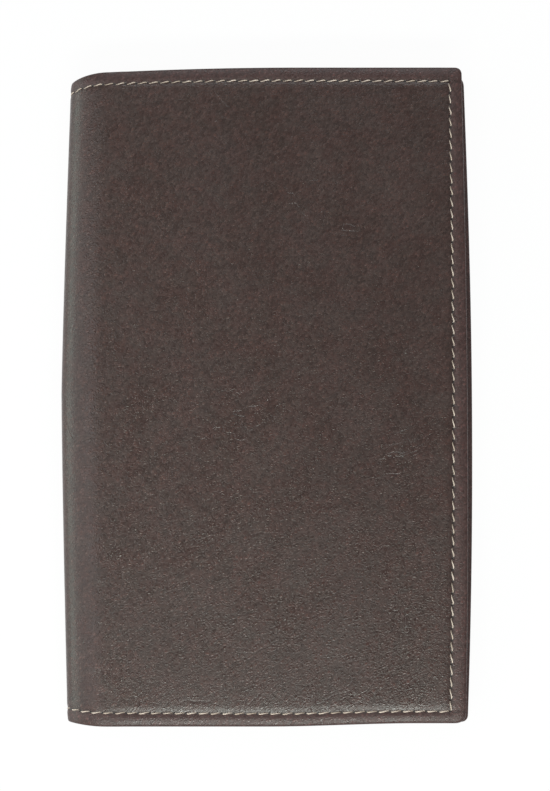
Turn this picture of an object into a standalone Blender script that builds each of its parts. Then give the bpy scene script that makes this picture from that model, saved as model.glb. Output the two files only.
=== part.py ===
"""Golf scorecard holder: a bifold cover in dark brown turned-edge leather, lying closed on its back cover.

Metres. +Z points up through the front cover, +Y to the head of the covers and +X to the fore edge, so the
spine is at -X. The underside of the back cover is at Z = 0, and X = 0 is the middle of the widest part.

Each cover is leather wrapped round a board on three sides, with the turned-in hem glued behind the board
and a lining laid over it. A pocket panel for the scorecard or the yardage book is sewn along three sides
of each lining, and stays open towards the spine. The leather and the lining run round the spine in one
bend, which is a piece of its own here because it folds on two lines: one beside each cover.
"""

import math

import bmesh
import bpy

# Outline of the closed holder
cover_length = 0.178
end_width = 0.1078
waist_bow = 0.0019
front_bow = 0.0012
back_overhang = 0.00125
back_head_corner = 0.0032
front_head_corner = 0.0019
back_tail_corner = 0.0020
front_tail_corner = 0.0030

# How far sewing has drawn it out of square: the head edge towards the spine, the tail edge towards the fore
# edge, the head end of the fore edge outwards and the tail end of the spine inwards
head_draw = 0.00135
head_draw_start = 0.009
tail_draw = 0.00088
tail_draw_end = 0.040
head_reach = 0.0003
spine_draw = 0.0006

# The bend of the spine, and how far its two ends are drawn in
spine_depth = 0.011
spine_head_dish = 0.0020
spine_tail_dish = 0.0012

# Thicknesses, and the gap that neighbouring layers keep
leather = 0.0011
board = 0.0008
lining = 0.0005
panel = 0.0009
card_room = 0.0015
clearance = 0.0003

# Turned edge and its stitch line
hem_width = 0.009
hem_slope = 0.0035
stitch_inset = 0.0033
groove_half_width = 0.0009
groove_depth = 0.0002

# Inside of the covers
board_setback = 0.005
board_slope = 0.0018
lining_margin = 0.0018
pocket_width = 0.062
notch_depth = 0.006
notch_half_length = 0.016

# Pencil loop
loop_length = 0.038
loop_leather = 0.0009
loop_straight = 0.002
loop_flange = 0.0060

# Number of flat facets along each curve
roll_steps = 8
corner_steps = 4
edge_steps = 5
notch_steps = 8
length_steps = 14
bend_steps = 12

# Depths of the layers of one cover, counted inwards from its outer face
board_depth = leather + clearance
hem_depth = board_depth + board + clearance
edge_thickness = hem_depth + leather
lining_on_leather = leather + clearance
lining_on_board = hem_depth
lining_on_hem = edge_thickness + clearance
pocket_depth = lining_on_hem + lining + clearance
cover_stack = pocket_depth + panel
closed_thickness = 2 * cover_stack + card_room

half_length = cover_length / 2
back_fore_edge = end_width / 2
front_fore_edge = back_fore_edge - back_overhang
fold_x = spine_depth - end_width / 2
cover_start = fold_x + clearance
board_start = fold_x + board_setback
board_inset = leather + 2 * clearance


def spaced(start, end, steps):
    """steps + 1 values from start to end."""
    return [start + (end - start) * i / steps for i in range(steps + 1)]


def ramp(value, start, end):
    """0 up to start, 1 from end on, and a straight slope between them."""
    return min(max((value - start) / (end - start), 0.0), 1.0)


def place(x, y, z, fore_bow=waist_bow):
    """A point of the holder: its long sides bow out across the middle, and sewing has drawn its edges in."""
    along = y / half_length
    bow = fore_bow * (1 - along**2) + head_reach * max(along, 0.0) ** 4
    if x < 0:
        bow = waist_bow * (1 - abs(along) ** 1.3) - spine_draw * max(-along, 0.0)
    drawn = head_draw * ramp(max(x, fold_x), head_draw_start, fold_x) ** 2
    if y < 0:
        share = ramp(x, 0.0, tail_draw_end)
        drawn = tail_draw * share**2 * (3 - 2 * share)
    return (x * (1 + bow / (end_width / 2)), y - math.copysign(drawn * along**2, y), z)


def in_cover(x, y, depth, is_front):
    """A point of a cover, at this depth below the cover's outer face."""
    if is_front:
        return place(x, y, closed_thickness - depth, front_bow)
    return place(x, y, depth)


def in_bend(angle, y, depth):
    """A point of the spine's bend, at an angle from 0 beside the back cover to pi beside the front cover."""
    dish = spine_head_dish if y > 0 else spine_tail_dish
    drawn_in = 1 - dish / half_length * math.sin(angle) ** 2
    x = fold_x - (spine_depth - depth) * math.sin(angle)
    z = closed_thickness / 2 - (closed_thickness / 2 - depth) * math.cos(angle)
    return place(x, y * drawn_in, z)


def leather_material(name, colour, roughness):
    material = bpy.data.materials.new(name)
    material.use_nodes = True
    shader = material.node_tree.nodes["Principled BSDF"]
    shader.inputs["Base Color"].default_value = (*colour, 1.0)
    shader.inputs["Roughness"].default_value = roughness
    shader.inputs["Metallic"].default_value = 0.0
    return material


def loft(bm, rows):
    """Quads between each two neighbouring rows of points, and the vertices of the rows."""
    made = [[bm.verts.new(point) for point in row] for row in rows]
    for near, far in zip(made, made[1:]):
        for i in range(len(near) - 1):
            bm.faces.new((near[i], near[i + 1], far[i + 1], far[i]))
    return made


def finished(name, bm, outward, thickness, material, parent=None):
    """The object of a skin: its faces are turned towards outward, and it is thickened on the other side."""
    bmesh.ops.remove_doubles(bm, verts=bm.verts, dist=1e-6)
    bm.normal_update()
    facing = sum(face.calc_area() * face.normal[i] * outward[i] for face in bm.faces for i in range(3))
    if facing < 0:
        bmesh.ops.reverse_faces(bm, faces=bm.faces)
    mesh = bpy.data.meshes.new(name)
    bm.to_mesh(mesh)
    bm.free()
    piece = bpy.data.objects.new(name, mesh)
    bpy.context.scene.collection.objects.link(piece)
    mesh.materials.append(material)
    mesh.shade_smooth()
    mesh.set_sharp_from_angle(angle=math.radians(40))
    if thickness:
        solid = piece.modifiers.new("thickness", "SOLIDIFY")
        solid.thickness = thickness
        solid.offset = -1
        solid.use_even_offset = True
    if parent:
        piece.parent = parent
        piece.matrix_parent_inverse = parent.matrix_world.inverted()
    return piece


def turned_edge():
    """(inset, depth) from the flat of a cover, over the stitch groove and round the edge to the hem's end."""
    radius = edge_thickness / 2
    flat = [
        (stitch_inset + groove_half_width, 0.0),
        (stitch_inset, groove_depth),
        (stitch_inset - groove_half_width, 0.0),
    ]
    rolled = [
        (radius - radius * math.sin(angle), radius - radius * math.cos(angle))
        for angle in spaced(0, math.pi, roll_steps)
    ]
    return flat + rolled + [(hem_width, edge_thickness)]


def three_sides(start_x, fore_x, inset, is_front):
    """The head edge from start_x, the fore edge and the tail edge of a cover, all moved in by inset."""
    head_corner = front_head_corner if is_front else back_head_corner
    tail_corner = front_tail_corner if is_front else back_tail_corner
    head_radius = max(head_corner - inset, 0.0)
    tail_radius = max(tail_corner - inset, 0.0)
    head_x = fore_x - max(head_corner, inset)
    tail_x = fore_x - max(tail_corner, inset)
    head_y = half_length - max(head_corner, inset)
    tail_y = max(tail_corner, inset) - half_length
    points = [(x, half_length - inset) for x in spaced(start_x, head_x, edge_steps)]
    for angle in spaced(math.pi / 2, 0, corner_steps)[1:]:
        points.append((head_x + head_radius * math.cos(angle), head_y + head_radius * math.sin(angle)))
    for y in spaced(head_y, tail_y, length_steps)[1:]:
        points.append((fore_x - inset, y))
    for angle in spaced(0, -math.pi / 2, corner_steps)[1:]:
        points.append((tail_x + tail_radius * math.cos(angle), tail_y + tail_radius * math.sin(angle)))
    points += [(x, inset - half_length) for x in spaced(tail_x, start_x, edge_steps)[1:]]
    return points


def spine_side(start_x, inset):
    """The inner points of the side towards the spine, from the tail to the head."""
    ends = inset - half_length, half_length - inset
    return [(start_x, y) for y in spaced(*ends, length_steps)[1:-1]]


def cover_leather(name, fore_x, is_front, material, parent=None):
    """The flat of the cover, with its stitch groove, rolled edge and hem drawn on ring after ring."""
    bm = bmesh.new()
    profile = turned_edge()
    rings = [
        [in_cover(x, y, depth, is_front) for x, y in three_sides(cover_start, fore_x, inset, is_front)]
        for inset, depth in profile
    ]
    outer_ring = loft(bm, rings)[0]
    side = [bm.verts.new(in_cover(x, y, 0.0, is_front)) for x, y in spine_side(cover_start, profile[0][0])]
    bm.faces.new((*outer_ring[::-1], *side[::-1]))
    bmesh.ops.recalc_face_normals(bm, faces=bm.faces)
    return finished(name, bm, (0, 0, 1 if is_front else -1), leather, material, parent)


def flat_sheet(name, outline, depth, thickness, is_front, material, parent=None):
    """A flat piece of a cover with this outline, its outer face at depth."""
    bm = bmesh.new()
    bm.faces.new([bm.verts.new(in_cover(x, y, depth, is_front)) for x, y in outline])
    return finished(name, bm, (0, 0, 1 if is_front else -1), thickness, material, parent)


def cover_board(name, fore_x, is_front, material, parent=None):
    outline = three_sides(board_start, fore_x, board_inset, is_front) + spine_side(board_start, board_inset)
    return flat_sheet(name, outline, board_depth, board, is_front, material, parent)


def free_side(free_x):
    """The side of a pocket towards the spine, from the tail to the head, with a shallow thumb notch in it."""
    end = half_length - lining_margin
    tail = spaced(-end, -notch_half_length, edge_steps)[1:]
    notch = spaced(-notch_half_length, notch_half_length, notch_steps)[1:-1]
    head = spaced(notch_half_length, end, edge_steps)[:-1]
    points = [(free_x, y) for y in tail]
    for y in notch:
        points.append((free_x + notch_depth * (1 + math.cos(math.pi * y / notch_half_length)) / 2, y))
    return points + [(free_x, y) for y in head]


def pocket_panel(name, fore_x, is_front, material, parent=None):
    """A panel sewn down on three sides and open towards the spine."""
    free_x = fore_x - lining_margin - pocket_width
    outline = three_sides(free_x, fore_x, lining_margin, is_front) + free_side(free_x)
    return flat_sheet(name, outline, pocket_depth, panel, is_front, material, parent)


def lining_depth(x, y, fore_x):
    """The lining lies on the leather at the spine, climbs onto the board, and over the hem on three sides."""
    base = lining_on_leather
    base += (lining_on_board - lining_on_leather) * ramp(x, board_start - board_slope, board_start)
    inset = min(half_length - abs(y), fore_x - x)
    over_hem = 1 - ramp(inset, hem_width + clearance, hem_width + hem_slope)
    return base + (lining_on_hem - base) * over_hem


def lining_rows():
    """The places along the length where the lining bends or is divided, from the tail to the head."""
    half = [half_length - hem_width - hem_slope, half_length - hem_width - clearance, half_length - lining_margin]
    middle = spaced(-half[0], half[0], length_steps - 2)
    return [-half[2], -half[1], *middle, half[1], half[2]]


def cover_lining(name, fore_x, is_front, material, parent=None):
    columns = [cover_start, board_start - board_slope]
    columns += spaced(board_start, fore_x - hem_width - hem_slope, edge_steps)
    columns += [fore_x - hem_width - clearance, fore_x - lining_margin]
    bm = bmesh.new()
    loft(
        bm,
        [
            [in_cover(x, y, lining_depth(x, y, fore_x), is_front) for y in lining_rows()]
            for x in columns
        ],
    )
    return finished(name, bm, (0, 0, 1 if is_front else -1), lining, material, parent)


def bend_leather(name, material, parent):
    """The leather round the spine, with the same rolled edge and hem at its head and its tail."""
    profile = turned_edge()
    flat_end = half_length - profile[0][0]
    contour = [(half_length - inset, depth) for inset, depth in reversed(profile)]
    contour += [(y, 0.0) for y in spaced(flat_end, -flat_end, length_steps)[1:-1]]
    contour += [(inset - half_length, depth) for inset, depth in profile]
    bm = bmesh.new()
    angles = spaced(0, math.pi, bend_steps)
    loft(bm, [[in_bend(angle, y, depth) for y, depth in contour] for angle in angles])
    return finished(name, bm, (-1, 0, 0), leather, material, parent)


def bend_lining(name, material, parent):
    """The lining round the inside of the spine, which climbs over the hems at the head and the tail."""
    bm = bmesh.new()
    rows = []
    for angle in spaced(0, math.pi, bend_steps):
        rows.append([in_bend(angle, y, lining_depth(fold_x, y, back_fore_edge)) for y in lining_rows()])
    loft(bm, rows)
    return finished(name, bm, (-1, 0, 0), lining, material, parent)


def round_end(centre_x, side, radius, start, end, steps):
    """Points (x, z) on a round end at mid-thickness, by angle from its lowest (0) to its highest point (pi)."""
    return [
        (centre_x + side * radius * math.sin(angle), closed_thickness / 2 - radius * math.cos(angle))
        for angle in spaced(start, end, steps)
    ]


def bar(name, section, half_span):
    """A bar along Y with this (x, z) section."""
    bm = bmesh.new()
    end = bm.faces.new([bm.verts.new((x, -half_span, z)) for x, z in section])
    grown = bmesh.ops.extrude_face_region(bm, geom=[end])["geom"]
    moved = [item for item in grown if isinstance(item, bmesh.types.BMVert)]
    bmesh.ops.translate(bm, verts=moved, vec=(0, 2 * half_span, 0))
    bmesh.ops.recalc_face_normals(bm, faces=bm.faces)
    mesh = bpy.data.meshes.new(name)
    bm.to_mesh(mesh)
    bm.free()
    piece = bpy.data.objects.new(name, mesh)
    bpy.context.scene.collection.objects.link(piece)
    return piece


def loop_of_leather(name, material):
    """A strap folded into a loop that fills the height of the gutter, its two ends sewn to the back lining.

    The loop sits as near the spine as the bend leaves room for it.
    """
    gutter_rise = closed_thickness / 2 - lining_on_leather - lining
    gutter_reach = spine_depth - lining_on_leather - lining
    radius = gutter_rise - clearance
    left_x = fold_x - gutter_reach * math.sqrt(1 - ((radius + clearance / 2) / gutter_rise) ** 2)
    right_x = left_x + loop_straight

    flange_base = lining_on_board + lining + clearance
    flange_top = flange_base + loop_leather
    base_angle = math.acos((closed_thickness / 2 - flange_base) / radius)
    top_angle = math.acos((closed_thickness / 2 - flange_top) / radius)
    flange_end = board_start + loop_flange
    section = round_end(right_x, 1, radius, top_angle, math.pi, 2 * roll_steps)
    section += round_end(left_x, -1, radius, 0, math.pi, 2 * roll_steps)[::-1]
    section += round_end(right_x, 1, radius, 0, base_angle, 2)
    section += [(flange_end, flange_base), (flange_end, flange_top)]
    loop = bar(name, section, loop_length / 2)

    bore_radius = radius - loop_leather
    bore_section = round_end(right_x, 1, bore_radius, 0, math.pi, 2 * roll_steps)
    bore_section += round_end(left_x, -1, bore_radius, 0, math.pi, 2 * roll_steps)[::-1]
    bore = bar("pencil_bore_cutter", bore_section, loop_length)
    bore.hide_render = True
    bore.display_type = "WIRE"
    cut = loop.modifiers.new("bore", "BOOLEAN")
    cut.operation = "DIFFERENCE"
    cut.solver = "EXACT"
    cut.object = bore
    loop.data.materials.append(material)
    loop.data.shade_smooth()
    loop.data.set_sharp_from_angle(angle=math.radians(40))
    return loop


def fold_line(name, is_front, parent=None):
    """An empty on a fold line, placed so that the bend unrolls to its own length when the holder opens flat."""
    reach = spine_depth - leather / 2
    rise = closed_thickness / 2 - leather / 2
    points = [(reach * math.sin(angle), rise * math.cos(angle)) for angle in spaced(0, math.pi / 2, 200)]
    quarter = sum(math.dist(a, b) for a, b in zip(points, points[1:]))
    fold = bpy.data.objects.new(name, None)
    bpy.context.scene.collection.objects.link(fold)
    fold_points = [place(fold_x, y, 0)[0] for y in spaced(-half_length, half_length, 200)]
    mean_fold_x = sum(fold_points) / len(fold_points)
    height = leather / 2 + (reach + rise - quarter) / 2
    fold.location = (
        mean_fold_x + (rise - quarter - reach) / 2,
        0,
        closed_thickness - height if is_front else height,
    )
    bpy.context.view_layer.update()
    if parent:
        fold.parent = parent
        fold.matrix_parent_inverse = parent.matrix_world.inverted()
        bpy.context.view_layer.update()
    return fold


for old in list(bpy.data.objects):
    bpy.data.objects.remove(old, do_unlink=True)

brown_leather = leather_material("brown leather", (0.060, 0.044, 0.040), 0.5)
pocket_leather = leather_material("pocket leather", (0.070, 0.050, 0.044), 0.6)
lining_cloth = leather_material("lining cloth", (0.030, 0.026, 0.024), 0.85)
grey_board = leather_material("grey board", (0.35, 0.33, 0.30), 0.9)

back_fold = fold_line("back_fold_line", is_front=False)
front_fold = fold_line("front_fold_line", is_front=True, parent=back_fold)

cover_leather("back_cover_leather", back_fore_edge, False, brown_leather)
cover_board("back_board", back_fore_edge, False, grey_board)
cover_lining("back_lining", back_fore_edge, False, lining_cloth)
pocket_panel("back_pocket", back_fore_edge, False, pocket_leather)
loop_of_leather("pencil_loop", pocket_leather)

bend_leather("spine_leather", brown_leather, back_fold)
bend_lining("spine_lining", lining_cloth, back_fold)

cover_leather("front_cover_leather", front_fore_edge, True, brown_leather, front_fold)
cover_board("front_board", front_fore_edge, True, grey_board, front_fold)
cover_lining("front_lining", front_fore_edge, True, lining_cloth, front_fold)
pocket_panel("front_pocket", front_fore_edge, True, pocket_leather, front_fold)
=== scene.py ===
"""A closed bifold golf scorecard holder in dark brown leather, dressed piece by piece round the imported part.

Metres, in the part's own frame: +Z up through the front cover, +Y to the head, +X to the fore edge.
"""

import math
import random

import bmesh
import bpy
import numpy as np
from mathutils import Matrix, Vector, noise


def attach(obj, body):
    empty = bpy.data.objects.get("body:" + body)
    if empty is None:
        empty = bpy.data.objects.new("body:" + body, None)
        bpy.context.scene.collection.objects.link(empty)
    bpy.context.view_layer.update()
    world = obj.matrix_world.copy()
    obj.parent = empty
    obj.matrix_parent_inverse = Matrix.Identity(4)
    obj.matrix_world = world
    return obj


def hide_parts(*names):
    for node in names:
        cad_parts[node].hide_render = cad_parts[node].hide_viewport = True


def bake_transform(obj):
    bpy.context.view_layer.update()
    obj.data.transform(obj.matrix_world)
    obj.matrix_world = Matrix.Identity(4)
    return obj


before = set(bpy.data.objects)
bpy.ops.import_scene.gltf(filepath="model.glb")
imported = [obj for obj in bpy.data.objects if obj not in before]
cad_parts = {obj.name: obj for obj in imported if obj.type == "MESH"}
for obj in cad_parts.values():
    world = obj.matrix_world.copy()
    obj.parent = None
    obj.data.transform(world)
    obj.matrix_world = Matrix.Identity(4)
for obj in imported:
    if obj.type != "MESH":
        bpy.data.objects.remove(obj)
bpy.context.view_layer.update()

# Outer leather. One hide of dark brown grain leather is wrapped round the head, fore edge and tail of both
# boards and glued down behind them as a hem, and it runs round the spine in one soft bend. Each half, from
# the middle of the spine to its fore edge, is modelled flat, outer face down, then laid round the bend.

cover_length = 0.178
end_width = 0.1078
fore_edge = {"back": 0.0539, "front": 0.05265}
spine_bow = 0.0019
fore_bow = {"back": 0.0019, "front": 0.0012}
head_corner = {"back": 0.0032, "front": 0.0019}
tail_corner = {"back": 0.0020, "front": 0.0030}
head_draw = 0.00135
head_draw_start = 0.009
tail_draw = 0.00088
tail_draw_end = 0.040
head_reach = 0.0003
spine_draw = 0.0006
closed_thickness = 0.0127
spine_depth = 0.011
spine_head_dish = 0.0020
spine_tail_dish = 0.0012
leather_thickness = 0.0011
turned_thickness = 0.0036
turned_round_spine = 0.0025
hem_width = 0.009
rim_squareness = 3.2
corner_squareness = 2.5
broad_swell = 0.00016
small_swell = 0.00006
rim_waver = 0.00011

# The outer face falls towards its seam, from drop_start to drop_end inside each edge.
head_drop = 0.00005
fore_drop = 0.0001
tail_drop = 0.00019
drop_start = 0.017
drop_end = 0.0036
drop_power = 5

# Each seam line's two ends, in from the edge, and its stitches.
stitch_length = 0.0031
head_seam, head_pitch = (0.0035, 0.0040), 0.0030
fore_seam, fore_pitch = (0.0034, 0.0042), 0.00316
tail_seam, tail_pitch = (0.0037, 0.0032), 0.00318
groove_spread = 0.0006
groove_cut = 0.0011
swelling_away = 0.0016
swelling_spread = 0.0009
swelling_share = 0.05
thread_sink = 0.00028
seam_mark = 0.001

half_length = cover_length / 2
half_stitch = stitch_length / 2
fold_x = spine_depth - end_width / 2
board_start = fold_x + 0.005
board_slope = 0.0018
middle_strip = 0.0003
touch = 1e-5

# The bend is half an ellipse: its outer face is as long from a fold to the middle of the spine as this.
bend_angles = np.linspace(0, math.pi / 2, 400)
bend_points = np.stack(
    (spine_depth * np.sin(bend_angles), closed_thickness / 2 * np.cos(bend_angles)), axis=1
)
bend_lengths = np.concatenate(([0], np.cumsum(np.linalg.norm(np.diff(bend_points, axis=0), axis=1))))
middle_x = fold_x - bend_lengths[-1]


def nothing_selected():
    if bpy.context.mode != "OBJECT":
        bpy.ops.object.mode_set(mode="OBJECT")
    bpy.ops.object.select_all(action="DESELECT")


def only_selected(piece):
    nothing_selected()
    bpy.context.view_layer.objects.active = piece
    piece.select_set(True)


def open_up(piece):
    """Opens one piece in edit mode with nothing selected."""
    only_selected(piece)
    bpy.ops.object.mode_set(mode="EDIT")
    bpy.ops.mesh.select_all(action="DESELECT")


def flat_blank(name, low, high):
    """A flat piece between two corners, open in edit mode."""
    nothing_selected()
    centre = [(a + b) / 2 for a, b in zip(low, high)]
    bpy.ops.mesh.primitive_cube_add(size=1, location=centre)
    piece = bpy.context.object
    piece.name = name
    piece.scale = [b - a for a, b in zip(low, high)]
    bpy.ops.object.transform_apply(location=True, rotation=True, scale=True)
    open_up(piece)
    return piece


def pick(piece, kind, wanted):
    """Selects the edges or faces that pass a test on their middle and their direction, and nothing else."""
    bpy.ops.mesh.select_all(action="DESELECT")
    bpy.ops.mesh.select_mode(type="EDGE" if kind == "edges" else "FACE")
    shape = bmesh.from_edit_mesh(piece.data)
    if kind == "edges":
        for edge in shape.edges:
            a, b = edge.verts[0].co, edge.verts[1].co
            if wanted((a + b) / 2, (b - a).normalized()):
                edge.select_set(True)
    else:
        for face in shape.faces:
            if wanted(face.calc_center_median(), face.normal):
                face.select_set(True)
    bmesh.update_edit_mesh(piece.data)


def round_picked(radius, segments):
    bpy.ops.mesh.bevel(offset=radius, segments=segments, affect="EDGES", clamp_overlap=False)


def round_corner(piece, corner_x, corner_y, radius, segments):
    """Rounds an open blank's upright edge at one fore corner."""
    pick(
        piece,
        "edges",
        lambda at, way: abs(way.z) > 0.9 and at.x > corner_x - touch and abs(at.y - corner_y) < touch,
    )
    round_picked(radius, segments)


def open_the_middle(piece):
    """Takes away the face in the middle of the spine, where the other half carries on."""
    pick(piece, "faces", lambda at, way: at.x < middle_x + touch and abs(way.x) > 0.9)
    bpy.ops.mesh.delete(type="FACE")


def cut_through(point, normal):
    """Cuts the whole open piece along one plane and keeps both sides."""
    bpy.ops.mesh.select_all(action="SELECT")
    bpy.ops.mesh.bisect(
        plane_co=point,
        plane_no=normal,
        use_fill=False,
        clear_inner=False,
        clear_outer=False,
        threshold=1e-6,
    )


def cut_lines(axis, places):
    """Cuts the open piece right across at these places along one axis."""
    normal = [1 if i == axis else 0 for i in range(3)]
    for place in places:
        cut_through([place * way for way in normal], normal)


def evenly(start, end, step):
    """Places from start to end, no further apart than step, the two ends left out."""
    count = max(int(math.ceil(abs(end - start) / step)), 1)
    return [start + (end - start) * i / count for i in range(1, count)]


def turn_inside_out(piece):
    open_up(piece)
    bpy.ops.mesh.select_all(action="SELECT")
    bpy.ops.mesh.flip_normals()
    nothing_selected()


def apply_modifier(piece, kind, **settings):
    only_selected(piece)
    modifier = piece.modifiers.new(kind.lower(), kind)
    for name, value in settings.items():
        setattr(modifier, name, value)
    bpy.ops.object.modifier_apply(modifier=modifier.name)


def subdivide(piece):
    apply_modifier(piece, "SUBSURF", levels=1, render_levels=1)


def smooth_shaded(piece, degrees=40):
    only_selected(piece)
    bpy.ops.object.shade_smooth_by_angle(angle=math.radians(degrees))


def points_of(piece):
    co = np.empty(len(piece.data.vertices) * 3)
    piece.data.vertices.foreach_get("co", co)
    return co.reshape(-1, 3)


def move_points(piece, co):
    piece.data.vertices.foreach_set("co", np.ascontiguousarray(co, dtype=float).ravel())
    piece.data.update()


def keep_on_points(piece, name, values):
    """Stores three numbers on each point, for the materials to read."""
    layer = piece.data.attributes.new(name, "FLOAT_VECTOR", "POINT")
    layer.data.foreach_set("vector", np.ascontiguousarray(values, dtype=np.float32).ravel())


def dress(piece, material):
    piece.data.materials.clear()
    piece.data.materials.append(material)


def eased(share):
    """A rise from nothing to one that starts and ends softly."""
    share = np.clip(share, 0, 1)
    return share * share * (3 - 2 * share)


def seam_line(start, end, pitch=stitch_length):
    """A seam line as its start, direction, length and number of stitches."""
    length = math.dist(start, end)
    direction = ((end[0] - start[0]) / length, (end[1] - start[1]) / length)
    return start, direction, length, round(length / pitch)


def seam_lines(side):
    """The seam of a half, flat. It was sewn by eye, so it isn't quite parallel to the edges."""
    head_start = (middle_x, half_length - head_seam[0])
    head_corner_hole = (fore_edge[side] - fore_seam[0], half_length - head_seam[1])
    tail_corner_hole = (fore_edge[side] - fore_seam[1], tail_seam[1] - half_length)
    tail_end = (middle_x, tail_seam[0] - half_length)
    return [
        seam_line(head_start, head_corner_hole, head_pitch),
        seam_line(head_corner_hole, tail_corner_hole, fore_pitch),
        seam_line(tail_corner_hole, tail_end, tail_pitch),
    ]


def from_line(x, y, start, direction, length):
    """How far along a seam line each flat point is, how far across it, and how far beyond its ends."""
    along = (x - start[0]) * direction[0] + (y - start[1]) * direction[1]
    across = (x - start[0]) * direction[1] - (y - start[1]) * direction[0]
    return along, across, np.maximum(np.maximum(-along, along - length), 0)


def seam_place(x, y, side):
    """How many stitches along its nearest seam line each flat point is, and how far it is from that line."""
    best_along = np.zeros_like(x)
    best_across = np.full_like(x, 1.0)
    for start, direction, length, count in seam_lines(side):
        along, across, beyond = from_line(x, y, start, direction, length)
        distance = np.hypot(across, beyond)
        nearer = distance < np.abs(best_across)
        best_along = np.where(nearer, along / length * count, best_along)
        best_across = np.where(nearer, np.where(beyond > 0, distance, across), best_across)
    return best_along, best_across


def seam_sink(x, y, side, depth):
    """How far the thread pulls the surface in: a groove along the seam, deepest at the needle holes."""
    groove = np.zeros_like(x)
    swelling = np.zeros_like(x)
    for start, direction, length, count in seam_lines(side):
        along, across, beyond = from_line(x, y, start, direction, length)
        away = np.hypot(across, beyond)
        at_hole = 0.5 + 0.5 * np.cos(2 * np.pi * along / length * count)
        pulled = np.exp(-((away / groove_spread) ** 2)) * (0.5 + 0.5 * at_hole)
        pushed = np.exp(-(((away - swelling_away) / swelling_spread) ** 2)) * swelling_share * (1 + at_hole)
        groove = np.maximum(groove, pulled)
        swelling = np.maximum(swelling, pushed)
    return depth * (groove - swelling * (1 - groove))


def edge_drop(x, y, side):
    """How far the outer face falls towards its seam, most at the tail. It is flat again outside the seam."""
    drop = np.zeros_like(x)
    for inset, most in (
        (half_length - y, head_drop),
        (fore_edge[side] - x, fore_drop),
        (half_length + y, tail_drop),
    ):
        share = np.clip((drop_start - np.maximum(inset, drop_end)) / (drop_start - drop_end), 0, 1)
        drop = np.maximum(drop, most * share**drop_power)
    return drop * np.clip((x - fold_x) / 0.02, 0, 1)


def onto_board(x):
    """Nothing round the spine, rising to one where the board starts."""
    return eased((x - board_start + board_slope) / board_slope)


def square_the_rim(x, y, side):
    """Draws the turned edges and the corners squarer than round, as leather does when it is hammered flat."""
    roll = turned_thickness / 2
    radius = np.where(y > 0, head_corner[side], tail_corner[side])
    from_fore = fore_edge[side] - x
    from_end = half_length - np.abs(y)
    u, v = radius - from_fore, radius - from_end
    reach = np.maximum(np.hypot(u, v), 1e-9)
    in_corner = (u > 0) & (v > 0)
    rim = np.where(in_corner, radius - reach, np.minimum(from_fore, from_end))
    inside_roll = np.clip(rim / roll, 0, 1)
    outward = np.where(inside_roll < 1, rim - roll * inside_roll**rim_squareness, 0)
    at_fore = from_fore < from_end
    flat_x = np.where(at_fore, x + outward, x)
    flat_y = np.where(at_fore, y, y + np.sign(y) * outward)
    c, s = np.clip(u / reach, 0, 1), np.clip(v / reach, 0, 1)
    stretch = (c**corner_squareness + s**corner_squareness + 1e-12) ** (-1 / corner_squareness)
    reach = (reach + outward) * (1 + (stretch - 1) * np.clip(reach / radius, 0, 1) ** 2)
    corner_x = fore_edge[side] - radius + c * reach
    corner_y = np.sign(y) * (half_length - radius + s * reach)
    return np.where(in_corner, corner_x, flat_x), np.where(in_corner, corner_y, flat_y)


def mark_hide(piece, side):
    """Keeps each flat point's place on the hide, counted from the middle of the spine, and on its seam. Its
    distance from the rim has seam_mark added to it, because a piece that isn't marked reads nought."""
    co = points_of(piece)
    from_middle = co[:, 0] - middle_x
    if side == "back":
        from_middle = -from_middle
    keep_on_points(piece, "on_hide", np.stack((from_middle, co[:, 1], co[:, 2]), axis=1))
    along, across = seam_place(co[:, 0], co[:, 1], side)
    rim = np.minimum(half_length - np.abs(co[:, 1]), fore_edge[side] - co[:, 0])
    keep_on_points(piece, "on_seam", np.stack((along, across, np.maximum(rim, 0) + seam_mark), axis=1))


def lay_round_spine(piece, side):
    """Turns a flat piece into its place in the closed holder. Flat z is the depth below the outer face."""
    co = points_of(piece)
    x, y, depth = co[:, 0], co[:, 1], co[:, 2]
    angle = np.interp(np.maximum(fold_x - x, 0), bend_lengths, bend_angles)
    in_bend = x < fold_x
    dish = np.where(y > 0, spine_head_dish, spine_tail_dish)
    y = y * (1 - dish / half_length * np.sin(angle) ** 2)
    z = np.where(in_bend, closed_thickness / 2 - (closed_thickness / 2 - depth) * np.cos(angle), depth)
    x = np.where(in_bend, fold_x - (spine_depth - depth) * np.sin(angle), x)
    share = y / half_length
    bow = np.where(
        x > 0,
        fore_bow[side] * (1 - share**2) + head_reach * np.maximum(share, 0) ** 4,
        spine_bow * (1 - np.abs(share) ** 1.3) - spine_draw * np.maximum(-share, 0),
    )
    towards_spine = np.clip((head_draw_start - np.maximum(x, fold_x)) / (head_draw_start - fold_x), 0, 1)
    drawn = np.where(y > 0, -head_draw * towards_spine**2, tail_draw * eased(x / tail_draw_end))
    x = x * (1 + bow / (end_width / 2))
    y = y + drawn * share**2
    if side == "front":
        z = closed_thickness - z
    move_points(piece, np.stack((x, y, z), axis=1))
    if side == "front":
        turn_inside_out(piece)


def bend_with_spine(piece, side):
    """Bakes the piece's place into its points, the same way for either side; it does not turn the piece with
    the spine.
    """
    if side == "back":
        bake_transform(piece)
    else:
        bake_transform(piece)


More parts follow.
